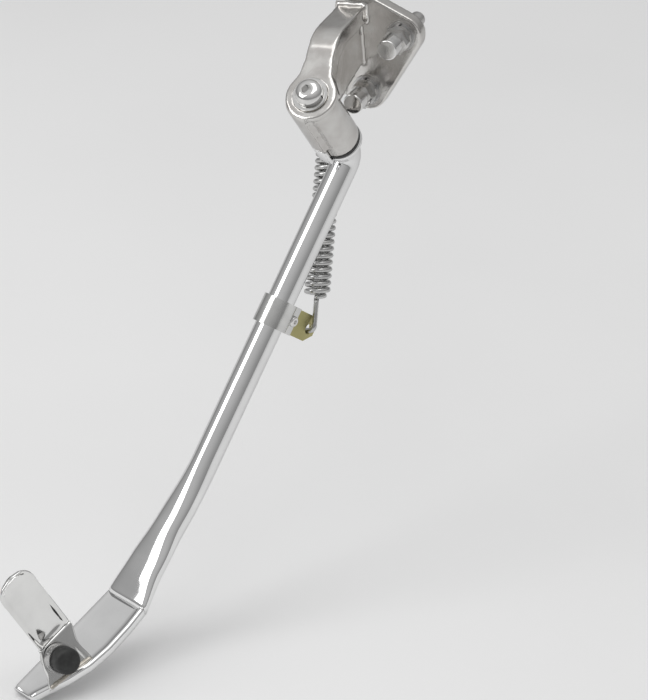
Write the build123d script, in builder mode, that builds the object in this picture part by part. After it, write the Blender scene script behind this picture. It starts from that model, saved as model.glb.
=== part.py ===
"""Motorcycle side stand: a forged bracket, a swinging leg with its foot, and an over-centre spring.

The origin is the middle of the bracket's mounting face, between its two studs. +X points to the
rear of the motorcycle, -Y outboard and +Z up. The leg is drawn swung out, standing on the ground.
"""

from build123d import *
from math import atan2, cos, degrees, radians, sin
import os

os.makedirs("parts", exist_ok=True)


def direction(heading, elevation):
    """Unit vector: heading from outboard to the rear, elevation above the horizontal, in degrees."""
    level = cos(radians(elevation))
    return Vector(
        level * sin(radians(heading)),
        -level * cos(radians(heading)),
        sin(radians(elevation)),
    )


def turned(plane, angle):
    """Plane turned about its own normal."""
    x_dir = plane.x_dir * cos(radians(angle)) + plane.y_dir * sin(radians(angle))
    return Plane(origin=plane.origin, x_dir=x_dir, z_dir=plane.z_dir)


def tipped(plane, angle):
    """Plane tipped about its own x direction, so that y rises towards the old normal."""
    z_dir = plane.z_dir * cos(radians(angle)) - plane.y_dir * sin(radians(angle))
    return Plane(origin=plane.origin, x_dir=plane.x_dir, z_dir=z_dir)


def ring_sector(inner, outer, start, sweep):
    """Face between two radii, from a start angle through a sweep, in the current sketch."""
    with BuildLine() as outline:
        rim = CenterArc((0, 0), outer, start, sweep)
        root = CenterArc((0, 0), inner, start, sweep)
        Line(rim @ 0, root @ 0)
        Line(rim @ 1, root @ 1)
    make_face(outline.edges())


def finish(part, name):
    """Label a finished piece and write its file."""
    part.label = name
    export_step(part, f"parts/{name}.step")


# ---------------------------------------------------------------- driving dimensions, mm and degrees
# Pivot barrel: the centre of its flat top face, and the axis that the leg turns about
barrel_top = Vector(-16.4, -87.0, 8.0)
axis_heading = -4.0
axis_elevation = 48.7
barrel_radius = 13.4
barrel_length = 57.0
eye_radius = 15.9
eye_thickness = 5.0
bore_radius = 10.0

# Pivot bearing
journal_radius = 7.95
bush_radius = 8.0
bush_length = 18.0
bush_lip = 1.4
washer_gap = 0.1
thrust_thickness = 1.4
seal_radius = 13.2
seal_width = 1.4

# Leg: a round bar that turns an elbow below the barrel, runs straight, and flattens into the foot
leg_heading = -22.0
leg_elevation = -52.4
leg_radius = 8.65
elbow_drop = 24.0
elbow_bend = 9.8
collar_radius = 13.5
collar_height = 4.5
flatten_start = 215.0
crease_at = 307.0
foot_elevation = -22.7
foot_shift = -5.4
foot_lift = 4.4
blade_thickness = 6.0
foot_half = 16.0
foot_length = 82.5
crease_width = 33.0
crease_thickness = 8.0

# Pivot screw, 3/8 inch with a button head
screw_radius = 4.76
screw_reach = 22.0
head_radius = 8.35
head_height = 4.8
socket_flats = 5.56
washer_radius = 10.8
washer_thickness = 1.6

# Stops: a boss on the barrel and a lug on the leg, angles about the pivot axis
stop_outer = 16.4
boss_first = -152.0
stop_face = -124.0
stop_gap = 1.4
boss_last = -84.0
boss_drop = 46.0
lug_last = -88.0
lug_clearance = 0.5

# Mounting flange and its two studs
flange_thickness = 9.0
stud_x = 10.9
stud_z = 19.4
stud_radius = 4.76
stud_hole = 5.0
stud_neck = 4.6
stud_reach = 20.0
stud_boss = 13.0
flat_washer = 1.6
lock_washer = 2.2

# Arm from the barrel to the flange
arm_turn = 7.7
arm_width = 17.5
arm_depth = 11.0
arm_straight = 30.0
arm_bend = 30.0
web_width = 9.0
web_start = 34.0

# Spring: where it hooks on, measured about the pivot axis from the barrel's lower end
anchor_orbit = 34.4
anchor_drop = 27.7
hook_orbit = 97.2
hook_drop = 82.6
hook_lead = 3.8
over_centre = 47.5
spring_radius = 8.2
wire_radius = 1.6
loop_radius = 4.1
pin_radius = 2.3
hook_offset = 5.6
hook_bend = 3.6

# Clamp that carries the spring's tab
clamp_inner = 8.8
clamp_outer = 10.8
clamp_length = 18.0
ear_reach = 18.6
ear_thickness = 2.2
tab_thickness = 3.0
tab_reach = 43.5
tab_hole = 3.5
clamp_screw_at = 14.7
clamp_screw_radius = 2.1

# Kick tab on the foot, and its rubber bumper
tab_base_s = 55.4
tab_base_q = 10.3
tab_toe_in = 16.2
tab_heading = 53.1
tab_elevation = 21.8
tab_plate = 3.0
tab_skew = 10.5
tab_bend = 18.0
tab_width = 26.0
tab_height = 55.5
tab_crease = 25.3
bumper_u = -2.7
bumper_v = 13.6
bumper_radius = 8.3
bumper_length = 16.0
bumper_screw_radius = 3.0
backing_radius = 9.2
backing_height = 7.0

# ---------------------------------------------------------------- derived directions and places
pivot_axis = direction(axis_heading, axis_elevation)
pivot_side = direction(axis_heading + 90, 0)
pivot = Plane(origin=barrel_top, x_dir=pivot_side, z_dir=pivot_axis)
barrel_end = barrel_top - pivot_axis * barrel_length
elbow = barrel_end - pivot_axis * elbow_drop

leg_dir = direction(leg_heading, leg_elevation)
leg_up = direction(leg_heading, leg_elevation + 90)
across = direction(leg_heading + 90, 0)
foot_dir = direction(leg_heading, foot_elevation)
foot_up = direction(leg_heading, foot_elevation + 90)
crease_lift = foot_lift + crease_thickness / 2
crease = elbow + leg_dir * crease_at + across * foot_shift + leg_up * crease_lift
foot = Plane(origin=crease, x_dir=foot_dir, z_dir=foot_up)

collar_top = barrel_length + bush_lip + thrust_thickness + 3 * washer_gap
collar_bottom = collar_top + collar_height

# Radial direction of the leg as it stands, and the two spring points round the pivot axis
leg_radial = (leg_dir - pivot_axis * leg_dir.dot(pivot_axis)).normalized()
leg_angle = degrees(atan2(leg_radial.dot(pivot.y_dir), leg_radial.dot(pivot.x_dir)))
hook_angle = leg_angle + hook_lead
anchor_angle = hook_angle + 180 + over_centre


def about_pivot(orbit, angle, drop):
    """Point at a radius and angle about the pivot axis, a drop below the barrel's lower end."""
    side = pivot.x_dir * cos(radians(angle)) + pivot.y_dir * sin(radians(angle))
    return barrel_end + side * orbit - pivot_axis * drop


spring_top = about_pivot(anchor_orbit, anchor_angle, anchor_drop)
spring_foot = about_pivot(hook_orbit, hook_angle, hook_drop)

# ---------------------------------------------------------------- bracket: barrel, arm, flange
arm_dir = pivot.x_dir * cos(radians(90 + arm_turn)) + pivot.y_dir * sin(radians(90 + arm_turn))
arm_plane = Plane(origin=barrel_top, x_dir=arm_dir, z_dir=arm_dir.cross(pivot_axis))
flange_face = Plane(origin=(0, -flange_thickness, 0), x_dir=(1, 0, 0), z_dir=(0, -1, 0))
flange_back = Plane(origin=(0, 0, 0), x_dir=(1, 0, 0), z_dir=(0, -1, 0))
stud_spots = [(-stud_x, -stud_z), (stud_x, stud_z)]

turn = radians(90 - axis_elevation)
arm_inward = Vector(-sin(turn), -cos(turn))
arm_run = 39.0
web_drop = 26.0
arm_boss = (-19.5, 31.5)

# A boss that carries the spring's pin hangs off the flange's lower forward corner
boss_radius = 5.6
boss_height = 8.0
boss_centre = spring_top + pivot_axis * (wire_radius + 1.2)
boss = Plane(origin=boss_centre, x_dir=pivot_side, z_dir=pivot_axis)
stalk_root = (-26.5, -14.5)
stalk_start = Vector(stalk_root[0], -4.5, stalk_root[1])
stalk_end = boss_centre + pivot_axis * (boss_height / 2)
stalk_radius = 4.4

with BuildPart() as mount_bracket:
    with BuildSketch(pivot):
        Circle(barrel_radius)
    extrude(amount=-barrel_length)
    with BuildSketch(pivot):
        Circle(eye_radius)
    extrude(amount=-eye_thickness)
    fillet(mount_bracket.edges().filter_by(GeomType.CIRCLE), radius=1.0)
    # Boss with a longer stretch that the leg's lug comes to rest against
    with BuildSketch(pivot.offset(-2)):
        ring_sector(barrel_radius - 1, stop_outer, boss_first, boss_last - boss_first)
    extrude(amount=-(boss_drop - 2))
    with BuildSketch(pivot.offset(-2)):
        ring_sector(barrel_radius - 1, stop_outer, boss_first, stop_face - boss_first)
    extrude(amount=-(barrel_length - 3))
    # Flare from the eye into the arm
    with BuildSketch(turned(pivot, arm_turn)):
        with BuildLine():
            Polyline(
                (-eye_radius + 0.6, 4),
                (-arm_width / 2 - 1.5, 14),
                (-arm_width / 2, 24),
                (arm_width / 2, 24),
                (arm_width / 2 + 1.5, 14),
                (eye_radius - 0.6, 4),
                close=True,
            )
        make_face()
    extrude(amount=-arm_depth)
    # Arm: a bar level with the barrel's top face that bends down to meet the flange squarely
    with BuildSketch(arm_plane):
        with BuildLine():
            top_run = Line((0, 0), (arm_straight, 0))
            top_turn = JernArc(top_run @ 1, top_run % 1, arm_bend, -degrees(turn))
            top_end = Line(top_turn @ 1, top_turn @ 1 + (top_turn % 1) * arm_run)
            foot_end = Line(top_end @ 1, top_end @ 1 + arm_inward * arm_depth)
            low_end = Line(foot_end @ 1, top_turn @ 1 + arm_inward * arm_depth)
            low_turn = Line(low_end @ 1, (arm_straight, -arm_depth))
            low_run = Line(low_turn @ 1, (0, -arm_depth))
            Line(low_run @ 1, (0, 0))
        make_face()
    extrude(amount=arm_width / 2, both=True)
    # Web under the arm
    with BuildSketch(arm_plane):
        with BuildLine():
            Polyline(
                (barrel_radius - 3, -arm_depth / 2),
                (arm_straight, -arm_depth / 2),
                foot_end @ 0.5,
                foot_end @ 1 + arm_inward * web_drop,
                (barrel_radius - 3, -web_start),
                close=True,
            )
        make_face()
    extrude(amount=web_width / 2, both=True)
    # Flange
    with BuildSketch(flange_back):
        with BuildLine():
            CenterArc((-stud_x, -stud_z), stud_boss, 0, 360)
            CenterArc((stud_x, stud_z), stud_boss, 0, 360)
            CenterArc(arm_boss, stud_boss, 0, 360)
            CenterArc(stalk_root, 8.0, 0, 360)
        make_hull()
    extrude(amount=flange_thickness)
    # Stalk and boss that carry the spring's pin
    with BuildSketch(boss):
        Circle(boss_radius)
    extrude(amount=boss_height)
    with BuildSketch(Plane(origin=stalk_start, z_dir=stalk_end - stalk_start)):
        Circle(stalk_radius)
    extrude(amount=(stalk_end - stalk_start).length)
    with BuildSketch(boss.offset(-1)):
        Circle(pin_radius + 0.02)
    extrude(amount=boss_height + 2, mode=Mode.SUBTRACT)
    with BuildSketch(pivot.offset(1)):
        Circle(bore_radius)
    extrude(amount=-(barrel_length + 2), mode=Mode.SUBTRACT)
    with BuildSketch(flange_back.offset(-1)):
        with Locations(*stud_spots):
            Circle(stud_hole)
    extrude(amount=flange_thickness + 2, mode=Mode.SUBTRACT)
finish(mount_bracket.part, "mount_bracket")

with BuildPart() as spring_anchor_pin:
    with BuildSketch(boss.offset(boss_height + 1)):
        Circle(pin_radius)
    extrude(amount=-(boss_height + 8.2))
    with BuildSketch(boss.offset(-6.4)):
        Circle(pin_radius + 1.5)
    extrude(amount=-1.6)
finish(spring_anchor_pin.part, "spring_anchor_pin")

# ---------------------------------------------------------------- pivot bearing
lip_radius = seal_radius - seal_width - 0.4

with BuildPart() as upper_pivot_bush:
    with BuildSketch(pivot):
        Circle(bore_radius)
        Circle(bush_radius, mode=Mode.SUBTRACT)
    extrude(amount=-bush_length)
finish(upper_pivot_bush.part, "upper_pivot_bush")

with BuildPart() as lower_pivot_bush:
    with BuildSketch(pivot.offset(-barrel_length)):
        Circle(bore_radius)
        Circle(bush_radius, mode=Mode.SUBTRACT)
    extrude(amount=bush_length)
    with BuildSketch(pivot.offset(-barrel_length)):
        Circle(lip_radius)
        Circle(bush_radius, mode=Mode.SUBTRACT)
    extrude(amount=-bush_lip)
finish(lower_pivot_bush.part, "lower_pivot_bush")

with BuildPart() as thrust_washer:
    with BuildSketch(pivot.offset(-(barrel_length + bush_lip + washer_gap))):
        Circle(lip_radius)
        Circle(bush_radius + 0.15, mode=Mode.SUBTRACT)
    extrude(amount=-thrust_thickness)
finish(thrust_washer.part, "thrust_washer")

with BuildPart() as pivot_seal:
    with BuildSketch(pivot.offset(-(barrel_length + 0.05))):
        Circle(seal_radius)
        Circle(seal_radius - seal_width, mode=Mode.SUBTRACT)
    extrude(amount=-(collar_top - barrel_length - 0.2))
    fillet(pivot_seal.edges(), radius=0.5)
finish(pivot_seal.part, "pivot_seal")

# ---------------------------------------------------------------- leg
float_gap = 0.2
elbow_plane = Plane(origin=elbow, x_dir=leg_dir, z_dir=leg_dir.cross(pivot_axis))
bar_start = tuple(elbow_plane.to_local_coords(barrel_top - pivot_axis * (collar_bottom - 1)))
lug_sweep = lug_last - stop_face - stop_gap
# Distance along the leg, width, thickness, corner radius and share of the foot's shift and lift
bar_sections = (
    (flatten_start, 2 * leg_radius, 2 * leg_radius, leg_radius - 0.4, 0.0),
    (flatten_start + 32, 20.6, 14.4, 6.6, 0.2),
    (flatten_start + 62, 26.0, 10.8, 4.7, 0.6),
    (crease_at, crease_width, crease_thickness, 3.2, 1.0),
)

with BuildPart() as leg:
    with BuildSketch(pivot.offset(float_gap)):
        Circle(journal_radius)
    extrude(amount=-(collar_top + 1))
    with BuildSketch(pivot.offset(-collar_top)):
        Circle(collar_radius)
    extrude(amount=-collar_height)
    with BuildLine(elbow_plane) as bar_path:
        FilletPolyline(bar_start, (0, 0, 0), (flatten_start, 0, 0), radius=elbow_bend)
    bar_wire = bar_path.wires()[0]
    with BuildSketch(Plane(origin=bar_wire @ 0, z_dir=bar_wire % 0)):
        Circle(leg_radius)
    sweep(path=bar_wire)
    for at, width, thickness, corner, share in bar_sections:
        centre = elbow + leg_dir * at + (across * foot_shift + leg_up * foot_lift) * share
        with BuildSketch(Plane(origin=centre, x_dir=across, z_dir=leg_dir)):
            RectangleRounded(width, thickness, corner)
    loft()
    # Foot blade: straight on its forward edge, bowed on its rear edge
    with BuildSketch(foot):
        with BuildLine():
            front_edge = Line((-6, -foot_half), (foot_length - 1.5, -foot_half))
            toe_edge = Line(front_edge @ 1, (foot_length, 1))
            outer_toe = ThreePointArc(toe_edge @ 1, (62, 11), (44, 17))
            bow = ThreePointArc(outer_toe @ 1, (26, 18.8), (2, foot_half + 0.6))
            root = Line(bow @ 1, (-6, foot_half))
            Line(root @ 1, front_edge @ 0)
        make_face()
    extrude(amount=-blade_thickness)
    # Lug that meets the longer stretch of the barrel's boss
    with BuildSketch(pivot.offset(-(boss_drop + 1))):
        ring_sector(barrel_radius + lug_clearance, stop_outer, stop_face + stop_gap, lug_sweep)
    extrude(amount=-(collar_bottom - boss_drop - 1))
    with BuildSketch(pivot.offset(-collar_top)):
        ring_sector(collar_radius - 2, stop_outer, stop_face + stop_gap, lug_sweep)
    extrude(amount=-collar_height)
    with BuildSketch(pivot.offset(float_gap)):
        Circle(screw_radius + 0.04)
    extrude(amount=-(screw_reach + 6), mode=Mode.SUBTRACT)
finish(leg.part, "leg")

# ---------------------------------------------------------------- screw and washers at the pivot's top
washer_base = float_gap
lock_base = washer_base + washer_thickness
lock_thickness = 1.6
head_base = lock_base + lock_thickness
lock_radius = 8.0

with BuildPart() as pivot_washer:
    with BuildSketch(pivot.offset(washer_base)):
        Circle(washer_radius)
        Circle(screw_radius + 0.25, mode=Mode.SUBTRACT)
    extrude(amount=washer_thickness)
    chamfer(pivot_washer.edges().filter_by(GeomType.CIRCLE).sort_by(SortBy.RADIUS)[-2:], length=0.3)
finish(pivot_washer.part, "pivot_washer")

with BuildPart() as pivot_lock_washer:
    with BuildSketch(pivot.offset(lock_base)):
        ring_sector(screw_radius + 0.25, lock_radius, 4, 352)
    extrude(amount=lock_thickness)
finish(pivot_lock_washer.part, "pivot_lock_washer")

with BuildPart() as pivot_screw:
    with BuildSketch(pivot.offset(head_base)):
        Circle(screw_radius)
    extrude(amount=-(head_base - float_gap + screw_reach))
    with BuildSketch(Plane(origin=barrel_top, x_dir=pivot_side, z_dir=pivot.y_dir * -1)):
        with BuildLine():
            flat_top = Line((0, head_base + head_height), (4.1, head_base + head_height))
            dome = ThreePointArc(
                flat_top @ 1,
                (head_radius * 0.82, head_base + head_height * 0.72),
                (head_radius, head_base + 0.9),
            )
            rim = Line(dome @ 1, (head_radius, head_base))
            seat = Line(rim @ 1, (0, head_base))
            Line(seat @ 1, flat_top @ 0)
        make_face()
    revolve(axis=Axis(barrel_top, pivot_axis))
    with BuildSketch(pivot.offset(head_base + head_height)):
        RegularPolygon(socket_flats / 2, 6, major_radius=False)
    extrude(amount=-3.2, mode=Mode.SUBTRACT)
finish(pivot_screw.part, "pivot_screw")

# ---------------------------------------------------------------- return spring
tab_at = elbow + leg_dir * (spring_foot - elbow).dot(leg_dir)
tab_dir = (spring_foot - tab_at).normalized()
tab_side = leg_dir.cross(tab_dir)
if tab_side.dot(across) < 0:
    tab_side = tab_side * -1
spring_end = spring_foot + tab_side * hook_offset
spring_axis = (spring_end - spring_top).normalized()
spring_length = (spring_end - spring_top).length
coil_start = 17.0
coil_end = spring_length - 21.0
hook_side = (tab_side - spring_axis * tab_side.dot(spring_axis)).normalized()
hook_centre = spring_end - hook_side * hook_bend - spring_axis * hook_bend
spring_side = pivot_axis - spring_axis * pivot_axis.dot(spring_axis)
spring_plane = Plane(origin=spring_top, x_dir=spring_side, z_dir=spring_axis)
# The upper loop lies round the pin; the lower hook turns through the tab's hole
loop_side = spring_axis - pivot_axis * spring_axis.dot(pivot_axis)
loop_plane = Plane(origin=spring_top, x_dir=loop_side, z_dir=pivot_axis)
loop_start = Plane(
    origin=spring_top + loop_plane.x_dir * loop_radius,
    x_dir=loop_plane.x_dir,
    z_dir=loop_plane.y_dir,
)

with BuildPart() as return_spring:
    with BuildSketch(spring_plane.offset(coil_start)):
        Circle(spring_radius)
    extrude(amount=coil_end - coil_start)
    fillet(return_spring.edges(), radius=wire_radius)
    with BuildSketch(spring_plane.offset(coil_start + 1)):
        Circle(wire_radius)
    extrude(amount=-(coil_start + 1 - loop_radius - 1))
    with BuildSketch(loop_start):
        Circle(wire_radius)
    revolve(axis=Axis(spring_top, pivot_axis), revolution_arc=330)
    with BuildSketch(spring_plane.offset(coil_end - 1)):
        Circle(wire_radius)
    extrude(amount=spring_length - coil_end + 1 - hook_bend)
    with BuildSketch(spring_plane.offset(spring_length - hook_bend)):
        Circle(wire_radius)
    revolve(axis=Axis(hook_centre, hook_side.cross(spring_axis)), revolution_arc=90)
    with BuildSketch(Plane(origin=hook_centre + spring_axis * hook_bend, z_dir=hook_side * -1)):
        Circle(wire_radius)
    extrude(amount=hook_offset - hook_bend + tab_thickness / 2 + 2.0)
finish(return_spring.part, "return_spring")

# ---------------------------------------------------------------- clamp, tab and their screw
clamp_centre = tab_at
clamp_plane = Plane(origin=clamp_centre, x_dir=tab_dir, z_dir=leg_dir)
tab_radius = (spring_foot - clamp_centre).length
tab_plane = Plane(origin=clamp_centre - tab_side * (tab_thickness / 2), x_dir=tab_dir, z_dir=tab_side)
ear_inner = tab_thickness / 2 + 0.1
ear_outer = ear_inner + ear_thickness

with BuildPart() as spring_clamp:
    with BuildSketch(clamp_plane.offset(-clamp_length / 2)):
        Circle(clamp_outer)
        for side in (-1, 1):
            with Locations(((ear_reach + clamp_inner) / 2, side * (ear_inner + ear_thickness / 2))):
                Rectangle(ear_reach - clamp_inner, ear_thickness)
        Circle(clamp_inner, mode=Mode.SUBTRACT)
        with Locations((clamp_outer, 0)):
            Rectangle(clamp_outer, 2 * ear_inner, mode=Mode.SUBTRACT)
    extrude(amount=clamp_length)
    with BuildSketch(tab_plane.offset(-ear_outer - 1)):
        with Locations((clamp_screw_at, 0)):
            Circle(clamp_screw_radius + 0.2)
    extrude(amount=2 * ear_outer + 5, mode=Mode.SUBTRACT)
finish(spring_clamp.part, "spring_clamp")

with BuildPart() as spring_tab:
    with BuildSketch(tab_plane):
        with BuildLine():
            Polyline(
                (clamp_inner + 0.4, -clamp_length / 2 + 0.5),
                (tab_reach - 7, -clamp_length / 2 + 0.5),
                (tab_reach, -3),
                (tab_reach, 4),
                (tab_reach - 5, clamp_length / 2 - 0.5),
                (clamp_inner + 0.4, clamp_length / 2 - 0.5),
                close=True,
            )
        make_face()
        with Locations((clamp_screw_at, 0)):
            Circle(clamp_screw_radius + 0.2, mode=Mode.SUBTRACT)
        with Locations((tab_radius, 0)):
            Circle(tab_hole, mode=Mode.SUBTRACT)
    extrude(amount=tab_thickness)
finish(spring_tab.part, "spring_tab")

clamp_nut_height = 3.4
clamp_nut_flats = 7.2
clamp_head_radius = 3.4
clamp_head_height = 2.4
screw_axis_plane = Plane(
    origin=clamp_centre + tab_dir * clamp_screw_at + tab_side * (ear_outer + 0.05),
    x_dir=leg_dir,
    z_dir=tab_side,
)

with BuildPart() as clamp_screw:
    with BuildSketch(screw_axis_plane):
        Circle(clamp_screw_radius)
    extrude(amount=-(2 * ear_outer + clamp_nut_height + 1.5))
    with BuildSketch(screw_axis_plane):
        Circle(clamp_head_radius)
    extrude(amount=clamp_head_height)
    fillet(clamp_screw.edges().group_by(Axis(clamp_centre, tab_side))[-1], radius=1.2)
    with BuildSketch(screw_axis_plane.offset(clamp_head_height)):
        RegularPolygon(1.25, 6, major_radius=False)
    extrude(amount=-1.4, mode=Mode.SUBTRACT)
finish(clamp_screw.part, "clamp_screw")

with BuildPart() as clamp_nut:
    with BuildSketch(screw_axis_plane.offset(-(2 * ear_outer + 0.1))):
        RegularPolygon(clamp_nut_flats / 2, 6, major_radius=False)
        Circle(clamp_screw_radius + 0.02, mode=Mode.SUBTRACT)
    extrude(amount=-clamp_nut_height)
finish(clamp_nut.part, "clamp_nut")

# ---------------------------------------------------------------- kick tab and bumper
tab_normal = direction(tab_heading, tab_elevation)
tab_origin = foot.from_local_coords((tab_base_s, tab_base_q, 0))
tab_run = foot_dir * -cos(radians(tab_toe_in)) + across * sin(radians(tab_toe_in))
tab_run = (tab_run - tab_normal * tab_run.dot(tab_normal)).normalized()
lower_plate = Plane(origin=tab_origin, x_dir=tab_run, z_dir=tab_normal)
crease_at_tab = lower_plate.from_local_coords((3.0, tab_crease, 0))
crease_line = Plane(origin=crease_at_tab, x_dir=lower_plate.x_dir, z_dir=tab_normal)
upper_plate = tipped(turned(crease_line, tab_skew), tab_bend)
half_tab = tab_width / 2

with BuildPart() as kick_tab:
    with BuildSketch(lower_plate.offset(-tab_plate)):
        with BuildLine():
            Polyline(
                (-17.5, -1.0),
                (-14.0, 9.0),
                (-10.2, 22.9),
                (16.2, 27.8),
                (13.5, 13.0),
                (15.9, -1.0),
                close=True,
            )
        make_face()
    extrude(amount=tab_plate)
    with BuildSketch(upper_plate.offset(-tab_plate)):
        with BuildLine():
            near_side = Line((-half_tab, 0), (-half_tab, tab_height - half_tab))
            crown = ThreePointArc(near_side @ 1, (0, tab_height), (half_tab, tab_height - half_tab))
            far_side = Line(crown @ 1, (half_tab, 0))
            Line(far_side @ 1, near_side @ 0)
        make_face()
    extrude(amount=tab_plate)
    # Hole for the bumper's screw
    with BuildSketch(lower_plate.offset(1)):
        with Locations((bumper_u, bumper_v)):
            Circle(bumper_screw_radius + 0.2)
    extrude(amount=-(tab_plate + 2), mode=Mode.SUBTRACT)
finish(kick_tab.part, "kick_tab")

bumper = Plane(
    origin=lower_plate.from_local_coords((bumper_u, bumper_v, 0)),
    x_dir=lower_plate.x_dir,
    z_dir=tab_normal,
)
ferrule_base = 1.2
ferrule_height = 8.0
ferrule_radius = bumper_radius + 0.9
nut_height = 3.2
nut_flats = 10.0
nut_base = 4.0

with BuildPart() as bumper_ferrule:
    with BuildSketch(bumper.offset(0.05)):
        Circle(ferrule_radius)
        Circle(bumper_screw_radius + 0.2, mode=Mode.SUBTRACT)
    extrude(amount=ferrule_base)
    with BuildSketch(bumper.offset(0.05)):
        Circle(ferrule_radius)
        Circle(bumper_radius + 0.1, mode=Mode.SUBTRACT)
    extrude(amount=ferrule_height)
finish(bumper_ferrule.part, "bumper_ferrule")

with BuildPart() as rubber_bumper:
    with BuildSketch(bumper.offset(ferrule_base + 0.1)):
        Circle(bumper_radius)
    extrude(amount=bumper_length)
    fillet(rubber_bumper.edges().group_by(Axis(bumper.origin, bumper.z_dir))[-1], radius=1.4)
    with BuildSketch(bumper.offset(ferrule_base + 0.1)):
        Circle(bumper_screw_radius + 0.1)
    extrude(amount=8.2, mode=Mode.SUBTRACT)
    with BuildSketch(bumper.offset(nut_base)):
        RegularPolygon(nut_flats / 2, 6, major_radius=False)
    extrude(amount=nut_height, mode=Mode.SUBTRACT)
finish(rubber_bumper.part, "rubber_bumper")

with BuildPart() as bumper_nut:
    with BuildSketch(bumper.offset(nut_base)):
        RegularPolygon(nut_flats / 2, 6, major_radius=False)
        Circle(bumper_screw_radius, mode=Mode.SUBTRACT)
    extrude(amount=nut_height)
finish(bumper_nut.part, "bumper_nut")

with BuildPart() as bumper_screw:
    with BuildSketch(bumper.offset(-(tab_plate + 0.05))):
        Circle(backing_radius)
    extrude(amount=-backing_height)
    fillet(bumper_screw.edges().group_by(Axis(bumper.origin, bumper.z_dir))[0], radius=5.5)
    with BuildSketch(bumper.offset(-(tab_plate + 0.5))):
        Circle(bumper_screw_radius)
    extrude(amount=tab_plate + 0.5 + nut_base + nut_height + 1.4)
finish(bumper_screw.part, "bumper_screw")

# ---------------------------------------------------------------- studs, washers and cap nuts
flat_base = 0.05
lock_seat = flat_base + flat_washer
nut_seat = lock_seat + lock_washer
cap_flange = 2.0
cap_hex = 7.0
cap_length = 20.5
cap_radius = 6.3
cap_flange_radius = 8.0
cap_flats = 14.2
stud_washer_radius = 9.2
stud_lock_radius = 7.9
lock_split = 94
stud_end = nut_seat + cap_length - 4.0

with BuildPart() as frame_studs:
    with BuildSketch(flange_back.offset(-stud_reach)):
        with Locations(*stud_spots):
            Circle(stud_radius)
    extrude(amount=stud_reach)
    with BuildSketch(flange_back.offset(-1)):
        with Locations(*stud_spots):
            Circle(stud_neck)
    extrude(amount=flange_thickness + stud_end + 1)
finish(frame_studs.part, "frame_studs")

with BuildPart() as stud_flat_washers:
    with BuildSketch(flange_face.offset(flat_base)):
        with Locations(*stud_spots):
            Circle(stud_washer_radius)
            Circle(stud_hole, mode=Mode.SUBTRACT)
    extrude(amount=flat_washer)
finish(stud_flat_washers.part, "stud_flat_washers")

with BuildPart() as stud_lock_washers:
    for spot in stud_spots:
        with BuildSketch(Plane(
            origin=flange_face.from_local_coords((spot[0], spot[1], lock_seat)),
            x_dir=(1, 0, 0),
            z_dir=(0, -1, 0),
        )):
            ring_sector(stud_hole, stud_lock_radius, lock_split, 350)
        extrude(amount=lock_washer)
finish(stud_lock_washers.part, "stud_lock_washers")

with BuildPart() as stud_cap_nuts:
    with BuildSketch(flange_face.offset(nut_seat)):
        with Locations(*stud_spots):
            Circle(cap_flange_radius)
    extrude(amount=cap_flange)
    with BuildSketch(flange_face.offset(nut_seat + cap_flange)):
        with Locations(*stud_spots):
            RegularPolygon(cap_flats / 2, 6, major_radius=False)
    extrude(amount=cap_hex)
    with BuildSketch(flange_face.offset(nut_seat + cap_flange + cap_hex)):
        with Locations(*stud_spots):
            Circle(cap_radius)
    extrude(amount=cap_length - cap_flange - cap_hex)
    fillet(stud_cap_nuts.edges().group_by(Axis.Y)[0], radius=0.8)
    with BuildSketch(flange_face.offset(nut_seat - 1)):
        with Locations(*stud_spots):
            Circle(stud_neck + 0.02)
    extrude(amount=cap_length - 2.5, mode=Mode.SUBTRACT)
finish(stud_cap_nuts.part, "stud_cap_nuts")
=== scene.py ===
from math import cos, pi, radians, sin

import bpy
from mathutils import Matrix, Vector


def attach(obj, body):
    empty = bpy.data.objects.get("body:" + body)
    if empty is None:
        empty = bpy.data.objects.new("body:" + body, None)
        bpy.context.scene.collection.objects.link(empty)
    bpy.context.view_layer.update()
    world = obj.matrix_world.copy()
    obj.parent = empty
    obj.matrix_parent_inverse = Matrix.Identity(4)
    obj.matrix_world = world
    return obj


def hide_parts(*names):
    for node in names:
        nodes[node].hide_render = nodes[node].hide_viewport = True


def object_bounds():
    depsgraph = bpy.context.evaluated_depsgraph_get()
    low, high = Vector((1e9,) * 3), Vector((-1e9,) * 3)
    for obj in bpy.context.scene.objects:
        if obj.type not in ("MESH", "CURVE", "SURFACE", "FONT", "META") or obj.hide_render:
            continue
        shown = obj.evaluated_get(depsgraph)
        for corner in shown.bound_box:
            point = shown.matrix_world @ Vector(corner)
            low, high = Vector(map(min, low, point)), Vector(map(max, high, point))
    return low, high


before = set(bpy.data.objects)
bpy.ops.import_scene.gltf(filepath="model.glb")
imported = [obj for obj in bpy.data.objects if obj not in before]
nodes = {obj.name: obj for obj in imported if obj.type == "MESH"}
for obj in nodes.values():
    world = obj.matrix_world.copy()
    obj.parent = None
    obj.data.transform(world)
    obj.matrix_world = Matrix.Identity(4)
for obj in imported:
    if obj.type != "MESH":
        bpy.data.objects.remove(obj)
cad_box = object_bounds()

MM = 0.001


def mm(x, y, z):
    """A point given in millimetres, in metres."""
    return Vector((x, y, z)) * MM


def direction(heading, elevation):
    """Unit vector: heading from outboard towards the rear, elevation above the horizontal."""
    h, e = radians(heading), radians(elevation)
    return Vector((cos(e) * sin(h), -cos(e) * cos(h), sin(e)))


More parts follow.
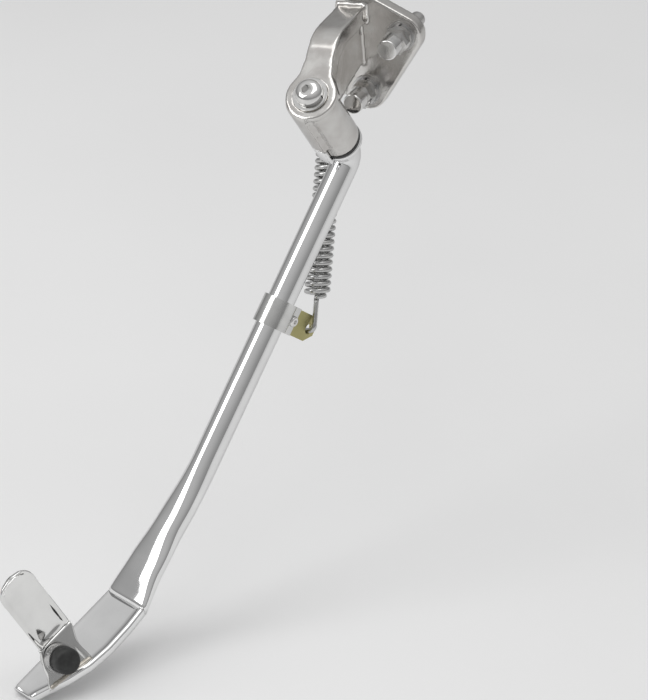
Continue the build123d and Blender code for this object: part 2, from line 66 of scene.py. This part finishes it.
# ---------------------------------------------------------------- places, as in the CAD
PIVOT = direction(-4.0, 48.7)
PIVOT_X = direction(86.0, 0.0)
PIVOT_Y = PIVOT.cross(PIVOT_X)
BARREL_TOP = mm(-16.4, -87.0, 8.0)
BARREL_LENGTH = 57.0
ELBOW_DROP = 24.0
BARREL_END = BARREL_TOP - PIVOT * BARREL_LENGTH * MM
ELBOW = BARREL_END - PIVOT * ELBOW_DROP * MM
LEG = direction(-22.0, -52.4)
LEG_UP = direction(-22.0, 37.6)
ACROSS = direction(68.0, 0.0)
FOOT = direction(-22.0, -22.7)
FOOT_UP = direction(-22.0, 67.3)
CREASE_AT = 307.0 * MM
FOOT_SHIFT = -5.4 * MM
FOOT_LIFT = 4.4 * MM
CREASE_LIFT = 4.0 * MM
CREASE = ELBOW + LEG * CREASE_AT + ACROSS * FOOT_SHIFT + LEG_UP * (FOOT_LIFT + CREASE_LIFT)
SPRING_TOP = mm(-33.26151, -9.98780, -38.28455)
SPRING_AXIS = Vector((0.08177, -0.42953, -0.89934)).normalized()
SPRING_LENGTH = 136.04 * MM
HOOK_SIDE = Vector((0.94633, -0.24965, 0.20528)).normalized()


# ---------------------------------------------------------------- mesh helpers
def mesh_object(name, verts, faces):
    mesh = bpy.data.meshes.new(name)
    mesh.from_pydata([tuple(v) for v in verts], [], faces)
    mesh.validate()
    mesh.update()
    for poly in mesh.polygons:
        poly.use_smooth = True
    obj = bpy.data.objects.new(name, mesh)
    bpy.context.scene.collection.objects.link(obj)
    return obj


def skin(rings, base):
    """Vertices and faces of a closed skin over rings of the same count, numbered from base."""
    n = len(rings[0])
    verts = [v for ring in rings for v in ring]
    faces = []
    for i in range(len(rings) - 1):
        a, b = base + i * n, base + (i + 1) * n
        for j in range(n):
            k = (j + 1) % n
            faces.append((a + j, a + k, b + k, b + j))
    faces.append(tuple(base + j for j in reversed(range(n))))
    last = base + (len(rings) - 1) * n
    faces.append(tuple(last + j for j in range(n)))
    return verts, faces


def joined(name, skins):
    """One object from several skins, each given as a list of rings."""
    verts, faces = [], []
    for rings in skins:
        v, f = skin(rings, len(verts))
        verts += v
        faces += f
    return mesh_object(name, verts, faces)


def ring_at(centre, x_dir, y_dir, points):
    return [centre + x_dir * x + y_dir * y for x, y in points]


def circle(radius, count):
    return [
        (radius * cos(2 * pi * i / count), radius * sin(2 * pi * i / count)) for i in range(count)
    ]


def lathe_rings(origin, axis, x_dir, profile, count=64):
    """Rings of a turned piece from (distance along the axis, radius) pairs."""
    y_dir = axis.cross(x_dir)
    return [ring_at(origin + axis * z, x_dir, y_dir, circle(r, count)) for z, r in profile]


def tube_rings(path, radius, count=14):
    """Rings of a round wire along a path, turned as little as possible."""
    rings = []
    side = None
    for i, point in enumerate(path):
        ahead = path[min(i + 1, len(path) - 1)]
        behind = path[max(i - 1, 0)]
        tangent = (ahead - behind).normalized()
        if side is None:
            side = tangent.orthogonal().normalized()
        side = (side - tangent * side.dot(tangent)).normalized()
        r = radius[i] if isinstance(radius, list) else radius
        rings.append(ring_at(point, side, tangent.cross(side), circle(r, count)))
    return rings


def ease(t):
    t = min(max(t, 0.0), 1.0)
    return t * t * (3 - 2 * t)


def between(table, at):
    """Value at a place in a table of (place, value) pairs, eased from one to the next."""
    for (x0, y0), (x1, y1) in zip(table, table[1:]):
        if at <= x1:
            return y0 + (y1 - y0) * ease((at - x0) / (x1 - x0))
    return table[-1][1]


# ---------------------------------------------------------------- materials
METAL_TINT = (0.70, 0.70, 0.70, 1.0)
METAL_GRAIN = 0.0004
RUBBER_GRAIN = 0.0003
RUBBER_SCALE = 220.0


def new_material(name):
    material = bpy.data.materials.new(name)
    material.use_nodes = True
    tree = material.node_tree
    return material, tree, tree.nodes["Principled BSDF"]


def mottled(tree, low, high, scale, detail=4.0):
    """Colour that wanders between two close shades over the piece's own coordinates."""
    coords = tree.nodes.new("ShaderNodeTexCoord")
    noise = tree.nodes.new("ShaderNodeTexNoise")
    noise.inputs["Scale"].default_value = scale
    noise.inputs["Detail"].default_value = detail
    ramp = tree.nodes.new("ShaderNodeValToRGB")
    ramp.color_ramp.elements[0].position = 0.35
    ramp.color_ramp.elements[0].color = (*low, 1)
    ramp.color_ramp.elements[1].position = 0.65
    ramp.color_ramp.elements[1].color = (*high, 1)
    tree.links.new(coords.outputs["Object"], noise.inputs["Vector"])
    tree.links.new(noise.outputs["Fac"], ramp.inputs["Fac"])
    return noise, ramp


def metal(name, low, high, rough_low, rough_high, scale=60.0, bump=0.0):
    material, tree, shader = new_material(name)
    noise, ramp = mottled(tree, low, high, scale)
    tree.links.new(ramp.outputs["Color"], shader.inputs["Base Color"])
    shader.inputs["Metallic"].default_value = 1.0
    shader.inputs["Specular Tint"].default_value = METAL_TINT
    spread = tree.nodes.new("ShaderNodeMapRange")
    spread.inputs["To Min"].default_value = rough_low
    spread.inputs["To Max"].default_value = rough_high
    tree.links.new(noise.outputs["Fac"], spread.inputs["Value"])
    tree.links.new(spread.outputs["Result"], shader.inputs["Roughness"])
    if bump:
        grain = tree.nodes.new("ShaderNodeBump")
        grain.inputs["Strength"].default_value = bump
        grain.inputs["Distance"].default_value = METAL_GRAIN
        tree.links.new(noise.outputs["Fac"], grain.inputs["Height"])
        tree.links.new(grain.outputs["Normal"], shader.inputs["Normal"])
    return material


def rubber(name, low, high, roughness):
    material, tree, shader = new_material(name)
    noise, ramp = mottled(tree, low, high, RUBBER_SCALE)
    tree.links.new(ramp.outputs["Color"], shader.inputs["Base Color"])
    shader.inputs["Roughness"].default_value = roughness
    grain = tree.nodes.new("ShaderNodeBump")
    grain.inputs["Strength"].default_value = 0.15
    grain.inputs["Distance"].default_value = RUBBER_GRAIN
    tree.links.new(noise.outputs["Fac"], grain.inputs["Height"])
    tree.links.new(grain.outputs["Normal"], shader.inputs["Normal"])
    return material


leg_chrome = metal("leg_chrome", (0.80, 0.80, 0.80), (0.86, 0.86, 0.86), 0.03, 0.09, 40.0)
forged_chrome = metal("forged_chrome", (0.60, 0.58, 0.56), (0.70, 0.69, 0.67), 0.10, 0.24, 90.0, 0.10)
tab_chrome = metal("tab_chrome", (0.74, 0.74, 0.73), (0.82, 0.82, 0.81), 0.04, 0.12, 50.0)
bolt_chrome = metal("bolt_chrome", (0.70, 0.70, 0.69), (0.80, 0.79, 0.78), 0.06, 0.16, 120.0)
zinc = metal("zinc", (0.52, 0.52, 0.52), (0.64, 0.63, 0.62), 0.20, 0.38, 160.0, 0.08)
wire_steel = metal("wire_steel", (0.50, 0.50, 0.50), (0.62, 0.62, 0.61), 0.16, 0.30, 200.0, 0.05)
olive_zinc = metal("olive_zinc", (0.42, 0.39, 0.19), (0.52, 0.48, 0.26), 0.38, 0.50, 60.0)
clamp_zinc = metal("clamp_zinc", (0.62, 0.62, 0.61), (0.74, 0.74, 0.73), 0.10, 0.20, 60.0)
bronze = metal("bronze", (0.44, 0.32, 0.17), (0.54, 0.40, 0.22), 0.28, 0.42, 200.0)
weld_metal = metal("weld_metal", (0.40, 0.37, 0.32), (0.56, 0.53, 0.48), 0.22, 0.42, 320.0, 0.30)
black_rubber = rubber("black_rubber", (0.030, 0.030, 0.030), (0.050, 0.050, 0.050), 0.65)
grey_rubber = rubber("grey_rubber", (0.012, 0.012, 0.012), (0.030, 0.031, 0.030), 0.55)

by_node = {
    "mount_bracket": forged_chrome,
    "spring_anchor_pin": zinc,
    "upper_pivot_bush": bronze,
    "lower_pivot_bush": bronze,
    "thrust_washer": bronze,
    "pivot_seal": black_rubber,
    "leg": leg_chrome,
    "pivot_washer": bolt_chrome,
    "pivot_lock_washer": zinc,
    "pivot_screw": bolt_chrome,
    "return_spring": wire_steel,
    "spring_clamp": clamp_zinc,
    "spring_tab": olive_zinc,
    "clamp_screw": bolt_chrome,
    "clamp_nut": zinc,
    "kick_tab": tab_chrome,
    "bumper_ferrule": zinc,
    "rubber_bumper": grey_rubber,
    "bumper_nut": zinc,
    "bumper_screw": bolt_chrome,
    "frame_studs": zinc,
    "stud_flat_washers": zinc,
    "stud_lock_washers": zinc,
    "stud_cap_nuts": bolt_chrome,
}
for name, material in by_node.items():
    for material_slot in nodes[name].material_slots:
        material_slot.material = material


def dress(obj, material, body, nodes_replaced=()):
    """Gives a piece its material and its body, and hides the CAD parts it stands in for."""
    obj.data.materials.clear()
    obj.data.materials.append(material)
    if nodes_replaced:
        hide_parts(*nodes_replaced)
    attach(obj, body)


# ---------------------------------------------------------------- bracket, with a forging's soft edges
VOXEL = 0.0008
SOFTEN_PASSES = 6

forging = bpy.data.objects.new("bracket_forging", nodes["mount_bracket"].data.copy())
bpy.context.scene.collection.objects.link(forging)
remesh = forging.modifiers.new("even", "REMESH")
remesh.mode = "VOXEL"
remesh.voxel_size = VOXEL
soften = forging.modifiers.new("soften", "SMOOTH")
soften.factor = 0.5
soften.iterations = SOFTEN_PASSES
depsgraph = bpy.context.evaluated_depsgraph_get()
soft_mesh = bpy.data.meshes.new_from_object(forging.evaluated_get(depsgraph))
forging.modifiers.clear()
forging.data = soft_mesh
for poly in soft_mesh.polygons:
    poly.use_smooth = True
dress(forging, forged_chrome, "bracket", ["mount_bracket"])

# ---------------------------------------------------------------- return spring
WIRE = 1.6 * MM
COIL = 6.6 * MM
COIL_START = 17.0 * MM
COIL_END = 115.0 * MM
TURNS = 23
LOOP = 4.1 * MM
LOOP_WRAP = 318
COIL_TAPER = 0.55
HOOK_BEND = 3.6 * MM
HOOK_REACH = 5.5

spring_u = (PIVOT - SPRING_AXIS * PIVOT.dot(SPRING_AXIS)).normalized()
spring_v = SPRING_AXIS.cross(spring_u)
loop_x = (SPRING_AXIS - PIVOT * SPRING_AXIS.dot(PIVOT)).normalized()
loop_y = PIVOT.cross(loop_x)
path = []
loop_steps = 40
for i in range(loop_steps):
    angle = radians(-LOOP_WRAP + LOOP_WRAP * i / loop_steps)
    path.append(SPRING_TOP + loop_x * LOOP * cos(angle) + loop_y * LOOP * sin(angle))
for i in range(6):
    path.append(SPRING_TOP + SPRING_AXIS * (LOOP * 1.35 + (COIL_START - LOOP * 2.2) * i / 6))
steps = TURNS * 30
for i in range(steps + 1):
    turn = TURNS * i / steps
    reach = COIL * ease(turn / COIL_TAPER) * ease((TURNS - turn) / COIL_TAPER)
    along = COIL_START + (COIL_END - COIL_START) * i / steps
    angle = 2 * pi * turn
    path.append(SPRING_TOP + SPRING_AXIS * along
                + (spring_u * cos(angle) + spring_v * sin(angle)) * reach)
hook_start = SPRING_LENGTH - HOOK_BEND
hook_centre = SPRING_TOP + SPRING_AXIS * hook_start - HOOK_SIDE * HOOK_BEND
for i in range(1, 6):
    path.append(SPRING_TOP + SPRING_AXIS * (COIL_END + (hook_start - COIL_END) * i / 6))
for i in range(9):
    angle = radians(90 * i / 8)
    path.append(
        hook_centre + HOOK_SIDE * HOOK_BEND * cos(angle) + SPRING_AXIS * HOOK_BEND * sin(angle)
    )
hook_tip = hook_centre + SPRING_AXIS * HOOK_BEND
for i in range(1, 5):
    path.append(hook_tip - HOOK_SIDE * HOOK_REACH * MM * i / 4)
coil = joined("coil_spring", [tube_rings(path, WIRE, 16)])
dress(coil, wire_steel, "spring", ["return_spring"])

# ---------------------------------------------------------------- leg and foot
LEG_RADIUS = 8.65 * MM
COLLAR_TOP = 60.1 * MM
COLLAR_BOTTOM = 64.6 * MM
COLLAR_RADIUS = 13.5 * MM
BEND = 9.8 * MM

half_widths = [(0.0, 8.65), (205.0, 8.65), (250.0, 10.6), (280.0, 13.4), (307.0, 16.5)]
half_heights = [(0.0, 8.65), (205.0, 8.65), (250.0, 7.0), (280.0, 5.3), (307.0, 3.6)]
squareness = [(0.0, 2.0), (205.0, 2.0), (260.0, 2.5), (307.0, 3.6)]
shares = [(0.0, 0.0), (205.0, 0.0), (307.0, 1.0)]


def rounded(half_width, half_height, power, count=72):
    """Section of the bar: a circle at power 2, squarer above it."""
    points = []
    for i in range(count):
        a = 2 * pi * i / count
        c, s = cos(a), sin(a)
        points.append((
            half_width * abs(c) ** (2 / power) * (1 if c >= 0 else -1),
            half_height * abs(s) ** (2 / power) * (1 if s >= 0 else -1),
        ))
    return points


# The bar starts under the collar, turns the elbow and runs down to the crease
down = -PIVOT
half_turn = down.angle(LEG) / 2
tangent_length = BEND * sin(half_turn) / cos(half_turn)
bend_start = ELBOW - down * tangent_length
in_turn = (LEG - down * LEG.dot(down)).normalized()
bend_centre = bend_start + in_turn * BEND
bar_rings = []
bar_side = ACROSS
start_point = BARREL_TOP - PIVOT * (COLLAR_BOTTOM - 0.5 * MM)
stops = [start_point.lerp(bend_start, i / 4) for i in range(4)]
for point in stops:
    side = (bar_side - down * bar_side.dot(down)).normalized()
    bar_rings.append(ring_at(point, side, down.cross(side), rounded(LEG_RADIUS, LEG_RADIUS, 2)))
for i in range(17):
    angle = 2 * half_turn * i / 16
    tangent = down * cos(angle) + in_turn * sin(angle)
    point = bend_centre - in_turn * BEND * cos(angle) + down * BEND * sin(angle)
    side = (bar_side - tangent * bar_side.dot(tangent)).normalized()
    bar_rings.append(ring_at(point, side, tangent.cross(side), rounded(LEG_RADIUS, LEG_RADIUS, 2)))
run = CREASE_AT - tangent_length
for i in range(1, 61):
    at = (tangent_length + run * i / 60) / MM
    share = between(shares, at)
    centre = ELBOW + LEG * at * MM + (ACROSS * FOOT_SHIFT + LEG_UP * FOOT_LIFT) * share
    half_width, half_height = between(half_widths, at) * MM, between(half_heights, at) * MM
    points = rounded(half_width, half_height, between(squareness, at))
    bar_rings.append(ring_at(centre, ACROSS, LEG_UP, points))

# The foot: a flat plate with a crisp crease, a rolled rear rim and a bevelled toe
FRONT = -16.0
LENGTH = 82.5
OVERLAP = 3.0
RIM = 0.9
REAR_EDGE = [
    (-3.0, 16.3), (12.0, 18.0), (30.0, 18.6), (46.0, 16.8), (62.0, 11.2), (74.0, 5.0), (82.5, 1.0),
]


def rear_edge(s):
    """Half width on the bowed rear side at a distance down the foot, in mm."""
    for (x0, y0), (x1, y1) in zip(REAR_EDGE, REAR_EDGE[1:]):
        if s <= x1:
            return y0 + (y1 - y0) * (s - x0) / (x1 - x0)
    return REAR_EDGE[-1][1]


foot_rings = []
foot_steps = 48
for i in range(foot_steps + 1):
    s = -OVERLAP + (LENGTH + OVERLAP) * i / foot_steps
    pinch = 0.45 if i == foot_steps else (0.2 if i == foot_steps - 1 else 0.0)
    left, right = FRONT, rear_edge(s)
    top, bottom = -0.1 - pinch * 2, -6.0 + pinch * 2
    shape = [
        (left, bottom + 1.0), (left, top - 1.2), (left + 0.35, top - 0.35), (left + 1.2, top),
        (left + 3.0, top - 0.25), (left + 6.0, top - 0.45), ((left + right) / 2, top - 0.55),
        (right - 7.0, top - 0.50), (right - 4.2, top - 0.30), (right - 3.4, top + RIM * 0.55),
        (right - 2.6, top + RIM), (right - 1.3, top + RIM), (right - 0.4, top + RIM * 0.3),
        (right, top - 0.8), (right + 0.1, top - 3.0), (right - 0.2, bottom + 1.2),
        (right - 1.4, bottom), (left + 1.2, bottom),
    ]
    foot_rings.append([
        CREASE + FOOT * s * MM + ACROSS * q * MM + FOOT_UP * h * MM for q, h in shape
    ])

collar = lathe_rings(BARREL_TOP, -PIVOT, PIVOT_X, [
    (COLLAR_TOP, COLLAR_RADIUS - 1.2 * MM), (COLLAR_TOP + 0.3 * MM, COLLAR_RADIUS - 0.3 * MM),
    (COLLAR_TOP + 1.0 * MM, COLLAR_RADIUS), (COLLAR_BOTTOM - 1.6 * MM, COLLAR_RADIUS),
    (COLLAR_BOTTOM - 0.6 * MM, COLLAR_RADIUS - 0.5 * MM), (COLLAR_BOTTOM, COLLAR_RADIUS - 1.8 * MM),
    (COLLAR_BOTTOM + 1.6 * MM, LEG_RADIUS + 1.2 * MM),
    (COLLAR_BOTTOM + 4.0 * MM, LEG_RADIUS + 0.1 * MM),
])


def sector_ring(height, inner, outer, first, last, steps=14):
    """Ring round a ring sector's outline at a height on the pivot axis."""
    points = []
    for i in range(steps + 1):
        a = radians(first + (last - first) * i / steps)
        points.append((outer * cos(a), outer * sin(a)))
    for i in range(steps + 1):
        a = radians(last + (first - last) * i / steps)
        points.append((inner * cos(a), inner * sin(a)))
    return ring_at(BARREL_TOP - PIVOT * height, PIVOT_X, PIVOT_Y, points)


# The stop lug, as (height, inner radius, outer radius, first angle, last angle)
LUG_SECTIONS = [
    (47.0, 13.9, 15.9, -122.0, -88.6), (47.6, 13.9, 16.4, -122.6, -88.0),
    (60.1, 13.9, 16.4, -122.6, -88.0), (60.3, 11.5, 16.4, -122.6, -88.0),
    (63.6, 11.5, 16.4, -122.6, -88.0), (64.6, 11.5, 15.4, -121.6, -89.0),
]
lug = [
    sector_ring(height * MM, inner * MM, outer * MM, first, last)
    for height, inner, outer, first, last in LUG_SECTIONS
]
leg_bar = joined("leg_bar", [bar_rings, foot_rings, collar, lug])
dress(leg_bar, leg_chrome, "swing_leg", ["leg"])

# ------------------------------------------------------------ kick tab: a dished pressing with raised rims
TAB_NORMAL = direction(53.1, 21.8)
TAB_X = Vector((0.46686, 0.82825, 0.30992)).normalized()
TAB_Y = Vector((-0.48036, -0.05674, 0.87523)).normalized()
TAB_ORIGIN = mm(-99.9356, -262.73841, -312.33929)
UP_ORIGIN = mm(-110.68811, -261.68913, -289.26609)
UP_X = Vector((0.3715, 0.80404, 0.46423)).normalized()
UP_Y = Vector((-0.30067, -0.36888, 0.8795)).normalized()
UP_NORMAL = Vector((0.8784, -0.46632, 0.10471)).normalized()
HALF_TAB = 13.0
TAB_HEIGHT = 55.5
TAB_PLATE = 3.0
TAB_FACE_DROP = 0.75
TAB_ROUND = 2.6
TAB_END_RUN = 4.5
RIM_FALL = 2.718
RIM_AT = 2.0
RIM_SPREAD = 2.2


def rolled(inward):
    """Share of the rim's height at a distance in from the plate's edge, in mm."""
    return RIM_FALL ** (-(inward - RIM_AT) ** 2 / RIM_SPREAD)


def dished(left, right, depth, rim):
    """Section across the plate: rolled rims each side of a shallow dish, in mm."""
    width = right - left
    points = []
    for i in range(25):
        t = i / 24
        bowl = -depth * (1 - (2 * t - 1) ** 4)
        edge = rim * (rolled(t * width) + rolled((1 - t) * width))
        points.append((left + width * t, bowl + edge - TAB_FACE_DROP))
    points += [(right + 0.0, -1.4), (right - 0.3, -2.4), (right - 1.3, -TAB_PLATE)]
    points += [(left + 1.3, -TAB_PLATE), (left + 0.3, -2.4), (left, -1.4)]
    return points


upper_rings = []
for i in range(41):
    v = TAB_HEIGHT * i / 40
    start = TAB_HEIGHT - HALF_TAB
    half = HALF_TAB - 0.2
    if v > start:
        t = min((v - start) / HALF_TAB, 0.995)
        half = HALF_TAB * (1 - t ** TAB_ROUND) ** (1 / TAB_ROUND)
    near_end = ease((v - (TAB_HEIGHT - TAB_END_RUN)) / TAB_END_RUN)
    depth = 1.3 * ease(v / 6) * (1 - near_end)
    points = dished(-half, half, depth, 0.7 * min(1.0, half / 7))
    upper_rings.append([
        UP_ORIGIN + (UP_X * x + UP_Y * v + UP_NORMAL * h) * MM for x, h in points
    ])

lower_rings = []
left_edge = [(-1.0, -17.2), (9.0, -14.0), (24.0, -10.4)]
right_edge = [(-1.0, 15.6), (13.0, 13.4), (26.0, 15.9)]
for i in range(19):
    t = i / 18
    v_left = -1.0 + 24.4 * t
    v_right = -1.0 + 28.4 * t
    left = between(left_edge, v_left)
    right = between(right_edge, v_right)
    ring = []
    for x, h in dished(left, right, 0.0, 0.45):
        share = (x - left) / (right - left)
        v = v_left + (v_right - v_left) * share
        ring.append(TAB_ORIGIN + (TAB_X * x + TAB_Y * v + TAB_NORMAL * h) * MM)
    lower_rings.append(ring)

bumper_at = TAB_ORIGIN + (TAB_X * -2.7 + TAB_Y * 13.6) * MM
pressing = joined("tab_pressing", [upper_rings, lower_rings])
dress(pressing, tab_chrome, "swing_leg", ["kick_tab"])

# ---------------------------------------------------------------- rubber bumper with a crowned end
crown = lathe_rings(bumper_at, TAB_NORMAL, TAB_X, [
    (1.3 * MM, 8.1 * MM), (1.6 * MM, 8.3 * MM), (10.0 * MM, 8.3 * MM), (14.2 * MM, 8.2 * MM),
    (15.9 * MM, 7.7 * MM), (16.6 * MM, 6.9 * MM), (17.0 * MM, 5.6 * MM), (17.2 * MM, 3.2 * MM),
    (17.25 * MM, 0.6 * MM),
])
bumper = joined("bumper_rubber", [crown])
dress(bumper, grey_rubber, "swing_leg", ["rubber_bumper"])


# ---------------------------------------------------------------- weld beads
def bead(name, points, radius, body):
    """A weld bead: a lumpy rounded strip along a line of points."""
    line = []
    for a, b in zip(points, points[1:]):
        line += [a.lerp(b, i / 14) for i in range(14)]
    line.append(points[-1])
    radii = [radius * (0.86 + 0.14 * sin(1.9 * i) ** 2) for i in range(len(line))]
    radii[0] = radii[-1] = radius * 0.5
    obj = joined(name, [tube_rings(line, radii, 12)])
    dress(obj, weld_metal, body)


BEAD_RADIUS = 1.3 * MM
tab_foot_left = TAB_ORIGIN + (TAB_X * -16.4 + TAB_Y * 0.6 + TAB_NORMAL * -0.2) * MM
tab_foot_right = TAB_ORIGIN + (TAB_X * 15.2 + TAB_Y * 0.6 + TAB_NORMAL * -0.2) * MM
tab_foot_middle = tab_foot_left.lerp(tab_foot_right, 0.5)
bead("tab_weld_front", [tab_foot_left, tab_foot_middle, tab_foot_right], BEAD_RADIUS, "swing_leg")
back = TAB_NORMAL * -TAB_PLATE * MM
bead("tab_weld_back", [tab_foot_left + back, tab_foot_right + back], BEAD_RADIUS, "swing_leg")

# ---------------------------------------------------------------- floor, light and camera
FLOOR_SIZE = 24.0
FLOOR_DROP = 0.0005
FLOOR_LOW = (0.86, 0.86, 0.86)
FLOOR_HIGH = (0.90, 0.90, 0.90)

ground = min(corner[2] for corner in cad_box)
bpy.ops.mesh.primitive_plane_add(size=FLOOR_SIZE, location=(0.0, 0.0, ground - FLOOR_DROP))
floor = bpy.context.object
floor.name = "floor"
floor_material, floor_tree, floor_shader = new_material("pale_floor")
floor_noise, floor_ramp = mottled(floor_tree, FLOOR_LOW, FLOOR_HIGH, 1.5)
floor_tree.links.new(floor_ramp.outputs["Color"], floor_shader.inputs["Base Color"])
floor_shader.inputs["Roughness"].default_value = 0.85
floor.data.materials.append(floor_material)

VIEW_RIGHT = Vector((0.9272, 0.3746, 0.0)).normalized()
VIEW_BACK = Vector((0.3276, -0.8109, 0.4848)).normalized()
VIEW_UP = VIEW_BACK.cross(VIEW_RIGHT).normalized()
AIM = mm(18.2, -151.3, -123.0)
DISTANCE = 1.75
LENS = 153.05
SENSOR = 36.0
KEY_POWER = 15.0
TOP_POWER = 16.0
SKY_STRENGTH = 0.85
SKY_TONES = [(0.0, 0.60), (0.48, 0.30), (0.60, 0.38), (1.0, 0.85)]

camera_data = bpy.data.cameras.new("camera")
camera_data.lens = LENS
camera_data.sensor_width = SENSOR
camera = bpy.data.objects.new("camera", camera_data)
bpy.context.scene.collection.objects.link(camera)
turn = Matrix((VIEW_RIGHT, VIEW_UP, VIEW_BACK)).transposed().to_4x4()
camera.matrix_world = Matrix.Translation(AIM + VIEW_BACK * DISTANCE) @ turn
bpy.context.scene.camera = camera


def softbox(name, place, target, width, height, power):
    """A soft rectangular light, white, that faces the target."""
    data = bpy.data.lights.new(name, "AREA")
    data.shape = "RECTANGLE"
    data.size = width
    data.size_y = height
    data.energy = power
    obj = bpy.data.objects.new(name, data)
    bpy.context.scene.collection.objects.link(obj)
    obj.location = place
    obj.rotation_euler = (target - place).to_track_quat("-Z", "Y").to_euler()


middle = mm(-30, -150, -150)
key_place = middle + (VIEW_BACK * 0.7 - VIEW_RIGHT * 1.6 + Vector((0, 0, 0.9))) * 1.2
top_place = middle + Vector((0.2, -0.2, 2.4))
softbox("key", key_place, middle, 1.2, 1.6, KEY_POWER)
softbox("top", top_place, middle, 2.0, 2.0, TOP_POWER)

# Soft studio surroundings: one grey gradient by height, the same all the way round
world = bpy.data.worlds.new("studio")
bpy.context.scene.world = world
world.use_nodes = True
tree = world.node_tree
background = tree.nodes["Background"]
coords = tree.nodes.new("ShaderNodeTexCoord")
height = tree.nodes.new("ShaderNodeSeparateXYZ")
tree.links.new(coords.outputs["Generated"], height.inputs["Vector"])
spread = tree.nodes.new("ShaderNodeMapRange")
spread.inputs["From Min"].default_value = -1.0
spread.inputs["From Max"].default_value = 1.0
tree.links.new(height.outputs["Z"], spread.inputs["Value"])
gradient = tree.nodes.new("ShaderNodeValToRGB")
ramp = gradient.color_ramp
while len(ramp.elements) < len(SKY_TONES):
    ramp.elements.new(0.5)
for element, (place, tone) in zip(ramp.elements, SKY_TONES):
    element.position = place
    element.color = (tone, tone, tone, 1)
tree.links.new(spread.outputs["Result"], gradient.inputs["Fac"])
tree.links.new(gradient.outputs["Color"], background.inputs["Color"])
background.inputs["Strength"].default_value = SKY_STRENGTH
bpy.context.scene.view_settings.view_transform = "Standard"
